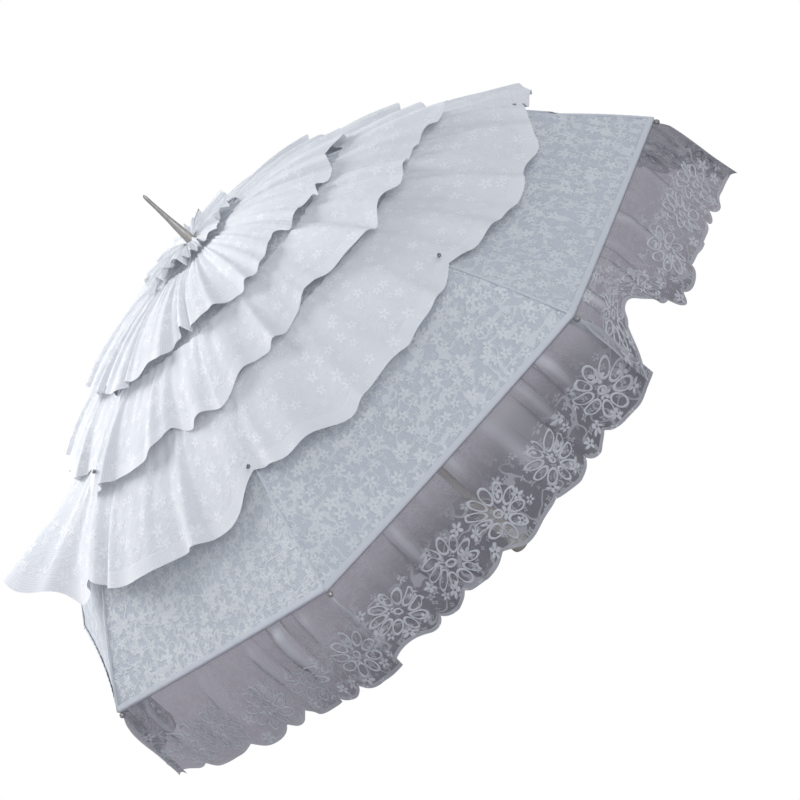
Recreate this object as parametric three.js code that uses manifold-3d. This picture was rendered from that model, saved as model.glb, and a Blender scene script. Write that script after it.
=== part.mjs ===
// A lace parasol, open: turned handle, tubular shaft, sliding runner, eight sprung ribs with stretchers,
// eight flat gores in two panels each, gathered ruffles and a deep hanging frill.
// Millimetres, +Z up along the shaft, origin at the centre of the handle's flat end.
import * as THREE from "three";
import { mergeVertices } from "three/addons/utils/BufferGeometryUtils.js";
import Module from "manifold-3d";

const wasm = await Module();
wasm.setup();

// ---- Driving dimensions ----
const RIB_COUNT = 8;
const RIM_RADIUS = 420; // shaft axis to a corner of the canopy
const RIM_HEIGHT = 258; // the canopy's rim above the handle's end
const DOME_HEIGHT = 225; // crown above the rim
const DOME_POWER = 2.15; // how late the dome turns down
const FABRIC = 1.2; // thickness of a cloth solid
const GAP = 0.3; // between pieces that touch
const FOLD_SHARE = 0.42; // of the rim radius, where the stretchers meet the ribs and each gore folds

const SHAFT_RADIUS = 4.5;
const SHAFT_BORE = 3.7;
const SHAFT_FOOT = 52;
const HANDLE_LENGTH = 76;
const COLLAR_LENGTH = 8;

const RIB_RADIUS = 1.3;
const RIB_DEPTH = 3.4; // a rib's centre line below the cloth's outer face
const RIB_HINGE_RADIUS = 9;
const RIB_HINGE_DROP = 6; // below the crown
const RIB_END = 415;
const TIP_LENGTH = 14;

const RUNNER_LENGTH = 46;
const RUNNER_FLANGE = 8;
const RUNNER_RADIUS = 7.4;
const RUNNER_FLANGE_RADIUS = 13.5;
const STRETCHER_LENGTH = 178;
const STRETCHER_PIVOT_RADIUS = 10.5;
const STRETCHER_THICKNESS = 1.6;
const STRETCHER_SIDE = 2.5; // the stretcher lies this far beside its rib's plane
const STRETCHER_DEPTH = 5.2; // its rib pivot below the cloth's outer face
const RUNNER_TRAVEL = 243; // from open to folded
const CATCH_HALF = 1.2; // half the width of a spring catch
const CATCH_GAP = 0.8; // between a catch's step and the runner

const FRILL_DEPTH = 96;
const FRILL_SCALLOPS = 5;
const RUFFLES = {
  // shares of the rim radius at the gathered edge and at the hem, then the hem's lift
  crown_rosette: [0.03, 0.145, 4],
  ruffle_upper: [0.16, 0.4, 10],
  ruffle_middle: [0.43, 0.61, 14],
  ruffle_lower: [0.63, 0.82, 18],
};
const FERRULE_TOP = 554;

// ---- Worked out from them ----
const STEP = (2 * Math.PI) / RIB_COUNT;
const HALF_GORE = STEP / 2;
const CROWN = RIM_HEIGHT + DOME_HEIGHT;
const FOLD_RADIUS = FOLD_SHARE * RIM_RADIUS;
const RIB_HINGE = new THREE.Vector2(RIB_HINGE_RADIUS, CROWN - RIB_HINGE_DROP);

const FINISH = {
  lace: { color: 0xe4e6ec, roughness: 0.85, metalness: 0 },
  frill: { color: 0xeef0f4, roughness: 0.8, metalness: 0 },
  steel: { color: 0x9a9a9c, roughness: 0.35, metalness: 0.9 },
  wood: { color: 0xe9e2d4, roughness: 0.45, metalness: 0 },
  pewter: { color: 0x8d8578, roughness: 0.4, metalness: 0.6 },
  resin: { color: 0xf1efe9, roughness: 0.4, metalness: 0 },
};

const parasol = new THREE.Group();

function addPiece(name, geometry, finish) {
  const mesh = new THREE.Mesh(geometry, new THREE.MeshStandardMaterial(FINISH[finish]));
  mesh.name = name;
  parasol.add(mesh);
}

// ---- Solids ----
function toSolid(geometry) {
  const bare = geometry.index ? geometry.toNonIndexed() : geometry.clone();
  bare.deleteAttribute("normal");
  bare.deleteAttribute("uv");
  const merged = mergeVertices(bare, 1e-4);
  return new wasm.Manifold(
    new wasm.Mesh({
      numProp: 3,
      vertProperties: merged.attributes.position.array,
      triVerts: new Uint32Array(merged.index.array),
    }),
  );
}

function toGeometry(solid) {
  const mesh = solid.getMesh();
  const geometry = new THREE.BufferGeometry();
  geometry.setAttribute("position", new THREE.BufferAttribute(mesh.vertProperties, 3));
  geometry.setIndex(new THREE.BufferAttribute(mesh.triVerts, 1));
  geometry.computeVertexNormals();
  return geometry;
}

// A solid of revolution about the shaft: outline points are (radius, height), the last joined to the first.
function turned(outline, segments) {
  const points = outline.map(([radius, height]) => new THREE.Vector2(radius, height));
  const geometry = new THREE.LatheGeometry([...points, points[0]], segments);
  return geometry.rotateX(Math.PI / 2);
}

// A flat outline of (radius, height) points in a plane through the shaft, thickened across that plane.
function upright(shape, thickness, side = 0) {
  const geometry = new THREE.ExtrudeGeometry(shape, {
    depth: thickness,
    bevelEnabled: false,
    curveSegments: 6,
  });
  geometry.translate(0, 0, side - thickness / 2);
  return geometry.rotateX(Math.PI / 2);
}

function shapeOf(points) {
  return new THREE.Shape(points.map(([x, y]) => new THREE.Vector2(x, y)));
}

const evenSteps = (from, to, steps) =>
  Array.from({ length: steps + 1 }, (_, i) => THREE.MathUtils.lerp(from, to, i / steps));

const ribAngle = (index) => index * STEP;
const goreAngle = (index) => (index + 0.5) * STEP;

// ---- The dome ----
const domeHeight = (radius) => CROWN - DOME_HEIGHT * (radius / RIM_RADIUS) ** DOME_POWER;
const domeSlope = (radius) =>
  (-DOME_HEIGHT * DOME_POWER * (radius / RIM_RADIUS) ** (DOME_POWER - 1)) / RIM_RADIUS;

// The point at a depth under the dome's face along a seam, as (radius, height).
function underDome(radius, depth) {
  const slope = domeSlope(radius);
  const length = Math.hypot(slope, 1);
  return new THREE.Vector2(radius + (depth * slope) / length, domeHeight(radius) - depth / length);
}

// ---- Cloth ----
// One flat-sided panel between two seams, from one seam radius to another, cut to the gore's wedge.
function gorePanel(innerRadius, outerRadius, steps) {
  const flat = Math.cos(HALF_GORE);
  const radii = evenSteps(innerRadius, outerRadius, steps);
  const face = radii.map((radius) => [radius * flat, domeHeight(radius)]);
  const back = radii.map((radius) => {
    const slope = domeSlope(radius) / flat;
    return [radius * flat, domeHeight(radius) - FABRIC * Math.hypot(slope, 1)];
  });
  const panel = upright(shapeOf([...face, ...back.reverse()]), 2 * outerRadius);
  return toGeometry(toSolid(panel).intersect(goreWedge(innerRadius, outerRadius)));
}

function goreWedge(innerRadius, outerRadius) {
  const reach = (radius) => radius * Math.sin(HALF_GORE) - GAP / 2;
  const flat = Math.cos(HALF_GORE);
  const [near, far] = [(innerRadius - 1) * flat, (outerRadius + 1) * flat];
  const outline = [
    [near, -reach(innerRadius - 1)],
    [far, -reach(outerRadius + 1)],
    [far, reach(outerRadius + 1)],
    [near, reach(innerRadius - 1)],
  ];
  const depth = CROWN + 50;
  return toSolid(new THREE.ExtrudeGeometry(shapeOf(outline), { depth, bevelEnabled: false }));
}

// A ring of gathered lace that lies on the dome and lifts towards its hem.
function ruffleRing(topRadius, hemRadius, lift) {
  const lower = evenSteps(0, 1, 4).map((s) => {
    const radius = THREE.MathUtils.lerp(topRadius, hemRadius, s);
    return [radius, domeHeight(radius) + 1.5 + lift * s * s];
  });
  const upper = lower.map(([radius, height]) => [radius, height + 1.5 * FABRIC]).reverse();
  return turned([...lower, ...upper], RIB_COUNT);
}

// One hanging frill panel: straight at the rim, scalloped along its hem.
function frillPanel() {
  const rimFlat = RIM_RADIUS * Math.cos(HALF_GORE);
  const half = RIM_RADIUS * Math.sin(HALF_GORE) - 3.5;
  const top = RIM_HEIGHT - 2;
  const bottom = RIM_HEIGHT - FRILL_DEPTH;
  const width = (2 * half) / FRILL_SCALLOPS;
  const rise = 0.3 * width;
  const outline = new THREE.Shape();
  outline.moveTo(half, top);
  outline.lineTo(-half, top);
  outline.lineTo(-half, bottom + rise);
  for (let i = 0; i < FRILL_SCALLOPS; i++) {
    const start = -half + i * width;
    outline.quadraticCurveTo(start + width / 2, bottom - rise, start + width, bottom + rise);
  }
  const panel = new THREE.ExtrudeGeometry(outline, {
    depth: FABRIC,
    bevelEnabled: false,
    curveSegments: 4,
  });
  return panel.applyMatrix4(
    new THREE.Matrix4().makeBasis(
      new THREE.Vector3(0, 1, 0),
      new THREE.Vector3(0, 0, 1),
      new THREE.Vector3(1, 0, 0),
    ).setPosition(rimFlat + 1, 0, 0),
  );
}

// ---- Frame ----
function ribRod() {
  const start = new THREE.Vector3(RIB_HINGE.x - 1, 0, RIB_HINGE.y);
  const radii = [30, 80, 130, FOLD_RADIUS, 220, 270, 320, 370, RIB_END];
  const along = radii.map((radius) => {
    const point = underDome(radius, RIB_DEPTH);
    return new THREE.Vector3(point.x, 0, point.y);
  });
  const path = new THREE.CatmullRomCurve3([start, ...along]);
  const section = new THREE.Shape();
  section.absarc(0, 0, RIB_RADIUS, 0, 2 * Math.PI);
  return new THREE.ExtrudeGeometry(section, {
    steps: 18,
    extrudePath: path,
    curveSegments: 3,
    bevelEnabled: false,
  });
}

function ribTip() {
  const outline = [
    [0, 0.5],
    [1.7, 0.5],
    [1.7, TIP_LENGTH - 5.5],
    [2.5, TIP_LENGTH - 4.5],
    [2.7, TIP_LENGTH - 2.7],
    [2.2, TIP_LENGTH - 1],
    [1.1, TIP_LENGTH],
    [0, TIP_LENGTH],
  ];
  const points = outline.map(([x, y]) => new THREE.Vector2(x, y));
  const cap = new THREE.LatheGeometry(points, 10);
  const end = underDome(RIB_END, RIB_DEPTH);
  const lean = Math.PI / 2 - Math.atan(domeSlope(RIB_END));
  return cap.rotateX(Math.PI / 2).rotateY(lean).translate(end.x, 0, end.y);
}

const FOLD_JOINT = underDome(FOLD_RADIUS, STRETCHER_DEPTH);
const RUNNER_PIVOT_HEIGHT =
  FOLD_JOINT.y - Math.sqrt(STRETCHER_LENGTH ** 2 - (FOLD_JOINT.x - STRETCHER_PIVOT_RADIUS) ** 2);

// A flat bar with a round eye and a rivet hole at each end.
function stretcherBar() {
  const eye = 2.4;
  const outline = new THREE.Shape();
  outline.absarc(0, 0, eye, Math.PI / 2, (3 * Math.PI) / 2, false);
  outline.absarc(STRETCHER_LENGTH, 0, eye, -Math.PI / 2, Math.PI / 2, false);
  outline.closePath();
  for (const end of [0, STRETCHER_LENGTH]) {
    const hole = new THREE.Path();
    hole.absarc(end, 0, 0.8, 0, 2 * Math.PI, true);
    outline.holes.push(hole);
  }
  const bar = upright(outline, STRETCHER_THICKNESS, STRETCHER_SIDE);
  const rise = Math.atan2(FOLD_JOINT.y - RUNNER_PIVOT_HEIGHT, FOLD_JOINT.x - STRETCHER_PIVOT_RADIUS);
  return bar.rotateY(-rise).translate(STRETCHER_PIVOT_RADIUS, 0, RUNNER_PIVOT_HEIGHT);
}

// A flanged sleeve with one radial slot for each rib or stretcher.
function slottedFlange(outline, slotWidth, slotFloor, slotSide, low, high) {
  let solid = toSolid(turned(outline, 32));
  for (let i = 0; i < RIB_COUNT; i++) {
    const slot = new THREE.BoxGeometry(30, slotWidth, high - low);
    slot.translate(slotFloor + 15, -slotSide, (low + high) / 2).rotateZ(ribAngle(i));
    solid = solid.subtract(toSolid(slot));
  }
  return toGeometry(solid);
}

function runnerSleeve() {
  const top = RUNNER_PIVOT_HEIGHT + RUNNER_FLANGE / 2;
  const bottom = top - RUNNER_LENGTH;
  const bore = SHAFT_RADIUS + GAP;
  const outline = [
    [bore, bottom],
    [RUNNER_RADIUS + 1.2, bottom],
    [RUNNER_RADIUS + 1.2, bottom + 4],
    [RUNNER_RADIUS, bottom + 5.5],
    [RUNNER_RADIUS, top - RUNNER_FLANGE],
    [RUNNER_FLANGE_RADIUS, top - RUNNER_FLANGE],
    [RUNNER_FLANGE_RADIUS, top],
    [bore, top],
  ];
  const slotWidth = STRETCHER_THICKNESS + 1;
  const slotFloor = RUNNER_RADIUS + GAP;
  const slotFoot = top - RUNNER_FLANGE;
  return slottedFlange(outline, slotWidth, slotFloor, STRETCHER_SIDE, slotFoot, top + 1);
}

function topNotch() {
  const top = RIB_HINGE.y + 3.4;
  const flangeFoot = RIB_HINGE.y - 4;
  const bore = SHAFT_RADIUS + GAP;
  const outline = [
    [bore, flangeFoot - 14],
    [6.6, flangeFoot - 14],
    [6.6, flangeFoot],
    [12, flangeFoot],
    [12, top],
    [bore, top],
  ];
  return slottedFlange(outline, 2 * RIB_RADIUS + 0.8, 6.7, 0, flangeFoot, top + 1);
}

// Spring catches sit in the shaft's bore, turned to the middle of the first gore.
const RUNNER_TOP = RUNNER_PIVOT_HEIGHT + RUNNER_FLANGE / 2;
const TOP_CATCH_NOSE = RUNNER_TOP - RUNNER_LENGTH - CATCH_GAP;
const BOTTOM_CATCH_NOSE = RUNNER_TOP - RUNNER_TRAVEL + CATCH_GAP;

function shaftTube() {
  const outline = [
    [SHAFT_BORE, SHAFT_FOOT + GAP],
    [SHAFT_RADIUS, SHAFT_FOOT + GAP],
    [SHAFT_RADIUS, CROWN + 15],
    [SHAFT_BORE, CROWN + 15],
  ];
  let tube = toSolid(turned(outline, 24));
  const slots = [
    [TOP_CATCH_NOSE - 16, TOP_CATCH_NOSE + 0.6],
    [BOTTOM_CATCH_NOSE - 0.6, BOTTOM_CATCH_NOSE + 16],
  ];
  for (const [low, high] of slots) {
    const slot = new THREE.BoxGeometry(8, 2 * CATCH_HALF + 0.8, high - low);
    slot.translate(5, 0, (low + high) / 2).rotateZ(goreAngle(0));
    tube = tube.subtract(toSolid(slot));
  }
  return toGeometry(tube);
}

// A catch leaf: direction 1 has its flat step on top, -1 has it below.
function springCatch(nose, direction) {
  const profile = [
    [1.2, 0],
    [1.2, -28],
    [3, -28],
    [3, -14],
    [7, -3],
    [7, 0],
  ].map(([radius, height]) => [radius, nose + direction * height]);
  return upright(shapeOf(profile), 2 * CATCH_HALF).rotateZ(goreAngle(0));
}

function ferrule() {
  const base = CROWN + 1;
  const bore = SHAFT_RADIUS + GAP;
  const outline = [
    [bore, base],
    [8.5, base],
    [8.5, base + 1.6],
    [6.4, base + 3],
    [6, base + 17],
    [5, base + 19],
    [3.6, base + 34],
    [2.2, FERRULE_TOP - 4],
    [2.4, FERRULE_TOP - 2],
    [1.4, FERRULE_TOP],
    [0, FERRULE_TOP],
    [0, base + 15.5],
    [bore, base + 15.5],
  ];
  return turned(outline, 20);
}

function handleTurning() {
  const bore = SHAFT_RADIUS + GAP;
  const outline = [
    [0, 0],
    [7.5, 0],
    [9.6, 1.6],
    [10.6, 5.5],
    [10.4, 10],
    [8.6, 14.5],
    [6.8, 18],
    [6.6, 20.5],
    [7.8, 24],
    [8.8, 34],
    [8.9, 46],
    [8.2, 58],
    [7.2, 66],
    [7.9, 68],
    [7.9, 70.5],
    [7, 73],
    [7, HANDLE_LENGTH],
    [bore, HANDLE_LENGTH],
    [bore, SHAFT_FOOT],
    [0, SHAFT_FOOT],
  ];
  return turned(outline, 20);
}

function handleCollar() {
  const low = HANDLE_LENGTH + GAP;
  const bore = SHAFT_RADIUS + GAP;
  const outline = [
    [bore, low],
    [8, low],
    [8.4, low + 2],
    [8, low + 4],
    [6.4, low + COLLAR_LENGTH],
    [bore, low + COLLAR_LENGTH],
  ];
  return turned(outline, 24);
}

// ---- Assembly ----
addPiece("handle", handleTurning(), "wood");
addPiece("handle_collar", handleCollar(), "pewter");
addPiece("shaft_tube", shaftTube(), "wood");
addPiece("top_notch", topNotch(), "pewter");
addPiece("ferrule", ferrule(), "pewter");
addPiece("runner", runnerSleeve(), "resin");
addPiece("top_catch", springCatch(TOP_CATCH_NOSE, 1), "steel");
addPiece("bottom_catch", springCatch(BOTTOM_CATCH_NOSE, -1), "steel");

for (let i = 0; i < RIB_COUNT; i++) {
  const number = i + 1;
  addPiece(`rib_${number}`, ribRod().rotateZ(ribAngle(i)), "steel");
  addPiece(`rib_tip_${number}`, ribTip().rotateZ(ribAngle(i)), "pewter");
  addPiece(`stretcher_${number}`, stretcherBar().rotateZ(ribAngle(i)), "steel");
  addPiece(`gore_upper_${number}`, gorePanel(8, FOLD_RADIUS, 4).rotateZ(goreAngle(i)), "lace");
  const lower = gorePanel(FOLD_RADIUS + GAP, RIM_RADIUS, 6);
  addPiece(`gore_lower_${number}`, lower.rotateZ(goreAngle(i)), "lace");
  addPiece(`frill_${number}`, frillPanel().rotateZ(goreAngle(i)), "frill");
}

for (const [name, [top, hem, lift]] of Object.entries(RUFFLES)) {
  addPiece(name, ruffleRing(top * RIM_RADIUS, hem * RIM_RADIUS, lift), "frill");
}

export default parasol;
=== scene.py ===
"""Looks of an open lace parasol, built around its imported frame.

Metres, +Z up along the shaft, origin at the flat end of the handle. Rib 1 lies over +X and the
ribs count anticlockwise from above; gore n lies between rib n and rib n + 1.
"""

import logging  # noqa: E402
import math  # noqa: E402
import random  # noqa: E402
from collections.abc import Callable, Iterable, Sequence  # noqa: E402
from dataclasses import dataclass, field  # noqa: E402
from enum import Enum  # noqa: E402

import bmesh  # noqa: E402
import bpy  # noqa: E402
from mathutils import Matrix, Vector, noise  # noqa: E402


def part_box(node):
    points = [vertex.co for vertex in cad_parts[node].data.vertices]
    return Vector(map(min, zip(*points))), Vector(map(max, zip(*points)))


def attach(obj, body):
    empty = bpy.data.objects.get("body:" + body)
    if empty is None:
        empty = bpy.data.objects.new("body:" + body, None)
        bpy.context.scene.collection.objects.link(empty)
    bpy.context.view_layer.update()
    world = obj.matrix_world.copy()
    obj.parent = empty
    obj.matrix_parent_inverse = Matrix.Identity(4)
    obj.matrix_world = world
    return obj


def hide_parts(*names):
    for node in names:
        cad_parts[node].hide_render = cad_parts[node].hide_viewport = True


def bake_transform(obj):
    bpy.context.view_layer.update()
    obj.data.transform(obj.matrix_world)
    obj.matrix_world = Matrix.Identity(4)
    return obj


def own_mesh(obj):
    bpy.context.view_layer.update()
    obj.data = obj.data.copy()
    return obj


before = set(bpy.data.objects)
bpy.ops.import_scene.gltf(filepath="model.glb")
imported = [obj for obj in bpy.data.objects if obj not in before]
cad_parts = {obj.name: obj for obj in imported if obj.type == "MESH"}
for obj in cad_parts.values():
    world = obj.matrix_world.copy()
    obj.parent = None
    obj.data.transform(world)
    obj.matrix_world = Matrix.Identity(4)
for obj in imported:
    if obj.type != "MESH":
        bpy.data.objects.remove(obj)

log = logging.getLogger("parasol")

RIB_COUNT = 8
STEP = math.tau / RIB_COUNT
HALF_GORE = STEP / 2
UP = Vector((0.0, 0.0, 1.0))
SHAFT_PAST_CROWN = 0.015
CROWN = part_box("shaft_tube")[1].z - SHAFT_PAST_CROWN
FOLD_RADIUS = 0.1764
HINGE_DROP = 0.006
MILLIMETRE = 1000
TURN_STEPS = 48

Place = Callable[[float, float], Vector]
Colour = tuple[float, float, float]


class Slot(str, Enum):
    """The material slots of the record."""

    LACE = "lace_cloth"
    SHEER = "sheer_lace"
    WOOD = "painted_wood"
    PEWTER = "pewter"
    RESIN = "resin"
    STEEL = "spring_steel"


class Held(str, Enum):
    """How a sheet of cloth is held."""

    STRETCHED = "stretched"
    GATHERED = "gathered"


# ---- Small helpers ----


def clamp(value: float, low: float = 0.0, high: float = 1.0) -> float:
    """Keep a value between two limits."""
    return max(low, min(high, value))


def smooth(value: float) -> float:
    """Ease a value from 0 to 1 without corners."""
    t = clamp(value)
    return t * t * (3 - 2 * t)


def mix(a: float, b: float, share: float) -> float:
    """Blend two numbers."""
    return a + (b - a) * share


def wander(x: float, y: float, seed: float) -> float:
    """Give a smooth value from about -1 to 1 that is the same each run.

    Args:
        x: First coordinate.
        y: Second coordinate.
        seed: Which pattern.

    Returns:
        The value of the pattern there.
    """
    return noise.noise(Vector((x, y, seed * 7.31 + 0.5)))


def around(theta: float) -> Vector:
    """Give the level direction away from the shaft at an angle."""
    return Vector((math.cos(theta), math.sin(theta), 0.0))


def tangent_at(theta: float) -> Vector:
    """Give the level direction round the shaft at an angle."""
    return Vector((-math.sin(theta), math.cos(theta), 0.0))


def rib_angle(number: int) -> float:
    """Give the angle of a rib."""
    return (number - 1) * STEP


# ---- Shader graphs ----


@dataclass
class Graph:
    """Adds nodes to a tree, taking numbers, colours or sockets as inputs.

    Attributes:
        tree: The node tree that is written.
    """

    tree: bpy.types.NodeTree

    def add(self, kind: str, **settings: object) -> bpy.types.Node:
        """Add a node.

        Args:
            kind: The node's type name.
            **settings: Properties to set on it.

        Returns:
            The new node.
        """
        node = self.tree.nodes.new(kind)
        for name, value in settings.items():
            setattr(node, name, value)
        count = len(self.tree.nodes)
        node.location = (190 * (count % 9), -220 * (count // 9))
        return node

    def join(self, value: object, socket: bpy.types.NodeSocket) -> None:
        """Link a socket to an input, or set the input to a value."""
        if isinstance(value, bpy.types.NodeSocket):
            self.tree.links.new(value, socket)
        else:
            socket.default_value = value

    def math(self, operation: str, *values: object) -> bpy.types.NodeSocket:
        """Do arithmetic on one to three values."""
        node = self.add("ShaderNodeMath", operation=operation)
        for value, socket in zip(values, node.inputs, strict=False):
            self.join(value, socket)
        return node.outputs[0]

    def vector(self, operation: str, *values: object) -> bpy.types.Node:
        """Do arithmetic on vectors, and give the node for its outputs."""
        node = self.add("ShaderNodeVectorMath", operation=operation)
        for value, socket in zip(values, node.inputs, strict=False):
            self.join(value, socket)
        return node

    def scaled(self, value: object, scale: object) -> bpy.types.NodeSocket:
        """Multiply a vector by one number."""
        node = self.add("ShaderNodeVectorMath", operation="SCALE")
        self.join(value, node.inputs["Vector"])
        self.join(scale, node.inputs["Scale"])
        return node.outputs["Vector"]

    def ramp(
        self,
        value: object,
        low: object,
        high: object,
        to_low: float = 0.0,
        to_high: float = 1.0,
    ) -> bpy.types.NodeSocket:
        """Map a range smoothly onto another, held at its ends.

        Args:
            value: What is mapped.
            low: Where the range starts.
            high: Where it ends.
            to_low: What the start becomes.
            to_high: What the end becomes.

        Returns:
            The mapped value.
        """
        node = self.add("ShaderNodeMapRange", interpolation_type="SMOOTHSTEP")
        for name, given in (
            ("Value", value),
            ("From Min", low),
            ("From Max", high),
            ("To Min", to_low),
            ("To Max", to_high),
        ):
            self.join(given, node.inputs[name])
        return node.outputs["Result"]

    def blend(self, share: object, a: object, b: object) -> bpy.types.NodeSocket:
        """Mix two colours by a share."""
        node = self.add("ShaderNodeMix", data_type="RGBA")
        self.join(share, node.inputs[0])
        for value, socket in ((a, node.inputs[6]), (b, node.inputs[7])):
            colour = (*value, 1.0) if isinstance(value, tuple) else value
            self.join(colour, socket)
        return node.outputs[2]

    def noise(
        self, place: object, scale: float, detail: float = 2.0
    ) -> bpy.types.NodeSocket:
        """Read a cloudy value from 0 to 1."""
        node = self.add("ShaderNodeTexNoise")
        self.join(place, node.inputs["Vector"])
        self.join(scale, node.inputs["Scale"])
        node.inputs["Detail"].default_value = detail
        return node.outputs["Fac"]

    def group(self, tree: bpy.types.NodeTree, **inputs: object) -> bpy.types.Node:
        """Place a node group with its values.

        Args:
            tree: The group.
            **inputs: Its inputs, with underscores for spaces.

        Returns:
            The group's node.
        """
        node = self.add("ShaderNodeGroup", node_tree=tree)
        for name, value in inputs.items():
            self.join(value, node.inputs[name.replace("_", " ")])
        return node


@dataclass(frozen=True)
class Effect:
    """A shader effect that several finishes share, kept as one node group."""

    name: str

    def tree(self) -> bpy.types.NodeTree:
        """Build the group the first time, and give the same one after that."""
        found = bpy.data.node_groups.get(self.name)
        if found:
            return found
        tree = bpy.data.node_groups.new(self.name, "ShaderNodeTree")
        for label, kind, start in self.inputs():
            socket = tree.interface.new_socket(
                name=label, in_out="INPUT", socket_type=kind
            )
            if start is not None:
                socket.default_value = start
        for label, kind in self.outputs():
            tree.interface.new_socket(name=label, in_out="OUTPUT", socket_type=kind)
        graph = Graph(tree)
        given, wanted = graph.add("NodeGroupInput"), graph.add("NodeGroupOutput")
        self.fill(graph, given.outputs, wanted.inputs)
        return tree

    def inputs(self) -> list[tuple[str, str, object]]:
        """List the inputs: name, kind and starting value."""
        raise NotImplementedError

    def outputs(self) -> list[tuple[str, str]]:
        """List the outputs: name and kind."""
        raise NotImplementedError

    def fill(self, graph: Graph, given: object, wanted: object) -> None:
        """Write the nodes between the inputs and the outputs."""
        raise NotImplementedError


FLOAT, VECTOR = "NodeSocketFloat", "NodeSocketVector"


@dataclass(frozen=True)
class BlossomEffect(Effect):
    """Scattered embroidered flowers, each with petals, an outline and an eye."""

    name: str = "Embroidered blossoms"

    def inputs(self) -> list[tuple[str, str, object]]:
        """List the inputs."""
        return [
            ("Place", VECTOR, None),
            ("Pitch", FLOAT, 0.012),
            ("Petals", FLOAT, 5.0),
            ("Reach", FLOAT, 0.42),
        ]

    def outputs(self) -> list[tuple[str, str]]:
        """List the outputs."""
        return [("Petal", FLOAT), ("Outline", FLOAT)]

    def fill(self, graph: Graph, given: object, wanted: object) -> None:
        """Draw each flower in its own cell of a scatter."""
        inverse = graph.math("DIVIDE", 1.0, given["Pitch"])
        place = graph.scaled(given["Place"], inverse)
        cells = graph.add(
            "ShaderNodeTexVoronoi", voronoi_dimensions="2D", feature="F1"
        )
        graph.join(place, cells.inputs["Vector"])
        cells.inputs["Scale"].default_value = 1.0
        cells.inputs["Randomness"].default_value = 0.72
        flat = graph.vector("MULTIPLY", place, (1.0, 1.0, 0.0)).outputs["Vector"]
        away = graph.vector("SUBTRACT", flat, cells.outputs["Position"])
        parts = graph.add("ShaderNodeSeparateXYZ")
        graph.join(away.outputs["Vector"], parts.inputs[0])
        turn = graph.math("ARCTAN2", parts.outputs[1], parts.outputs[0])
        spin = graph.add("ShaderNodeSeparateColor")
        graph.join(cells.outputs["Color"], spin.inputs[0])
        turned = graph.math("MULTIPLY_ADD", spin.outputs[0], math.tau, turn)
        half = graph.math("MULTIPLY", given["Petals"], 0.5)
        wave = graph.math(
            "ABSOLUTE", graph.math("COSINE", graph.math("MULTIPLY", turned, half))
        )
        size = graph.math("MULTIPLY_ADD", spin.outputs[1], 0.5, 0.65)
        reach = graph.math("MULTIPLY", given["Reach"], size)
        edge = graph.math(
            "MULTIPLY", reach, graph.math("MULTIPLY_ADD", wave, 0.62, 0.38)
        )
        distance = cells.outputs["Distance"]
        inside = graph.math("SUBTRACT", edge, distance)
        eye = graph.ramp(distance, 0.03, 0.07)
        petal = graph.math("MULTIPLY", graph.ramp(inside, -0.03, 0.12), eye)
        line = graph.ramp(graph.math("ABSOLUTE", inside), 0.07, 0.02)
        graph.join(petal, wanted["Petal"])
        graph.join(line, wanted["Outline"])


@dataclass(frozen=True)
class NetEffect(Effect):
    """The fine mesh that lace is worked on."""

    name: str = "Net mesh"

    def inputs(self) -> list[tuple[str, str, object]]:
        """List the inputs."""
        return [("Place", VECTOR, None), ("Pitch", FLOAT, 0.0018)]

    def outputs(self) -> list[tuple[str, str]]:
        """List the outputs."""
        return [("Thread", FLOAT)]

    def fill(self, graph: Graph, given: object, wanted: object) -> None:
        """Draw threads along the borders of even cells."""
        inverse = graph.math("DIVIDE", 1.0, given["Pitch"])
        cells = graph.add(
            "ShaderNodeTexVoronoi",
            voronoi_dimensions="2D",
            feature="DISTANCE_TO_EDGE",
        )
        graph.join(graph.scaled(given["Place"], inverse), cells.inputs["Vector"])
        cells.inputs["Scale"].default_value = 1.0
        cells.inputs["Randomness"].default_value = 0.35
        thread = graph.ramp(cells.outputs["Distance"], 0.22, 0.06)
        graph.join(thread, wanted["Thread"])


@dataclass(frozen=True)
class VineEffect(Effect):
    """Curling worked threads that join the flowers."""

    name: str = "Worked vines"

    def inputs(self) -> list[tuple[str, str, object]]:
        """List the inputs."""
        return [("Place", VECTOR, None), ("Pitch", FLOAT, 0.014)]

    def outputs(self) -> list[tuple[str, str]]:
        """List the outputs."""
        return [("Thread", FLOAT)]

    def fill(self, graph: Graph, given: object, wanted: object) -> None:
        """Draw threads where a cloudy value crosses its middle."""
        inverse = graph.math("DIVIDE", 1.0, given["Pitch"])
        cloud = graph.noise(graph.scaled(given["Place"], inverse), 1.0, 1.0)
        off = graph.math("ABSOLUTE", graph.math("SUBTRACT", cloud, 0.5))
        graph.join(graph.ramp(off, 0.045, 0.015), wanted["Thread"])


@dataclass(frozen=True)
class WearEffect(Effect):
    """Handling marks: a cloudy value and fine scratches."""

    name: str = "Handling wear"

    def inputs(self) -> list[tuple[str, str, object]]:
        """List the inputs."""
        return [("Place", VECTOR, None), ("Size", FLOAT, 0.01)]

    def outputs(self) -> list[tuple[str, str]]:
        """List the outputs."""
        return [("Cloud", FLOAT), ("Scratch", FLOAT)]

    def fill(self, graph: Graph, given: object, wanted: object) -> None:
        """Read one broad and one drawn-out noise."""
        inverse = graph.math("DIVIDE", 1.0, given["Size"])
        place = graph.scaled(given["Place"], inverse)
        cloud = graph.noise(place, 1.0, 4.0)
        drawn = graph.vector("MULTIPLY", place, (6.0, 6.0, 0.7)).outputs["Vector"]
        scratch = graph.ramp(graph.noise(drawn, 2.0, 3.0), 0.6, 0.72)
        graph.join(graph.ramp(cloud, 0.3, 0.75), wanted["Cloud"])
        graph.join(scratch, wanted["Scratch"])


# ---- Finishes ----


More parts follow.
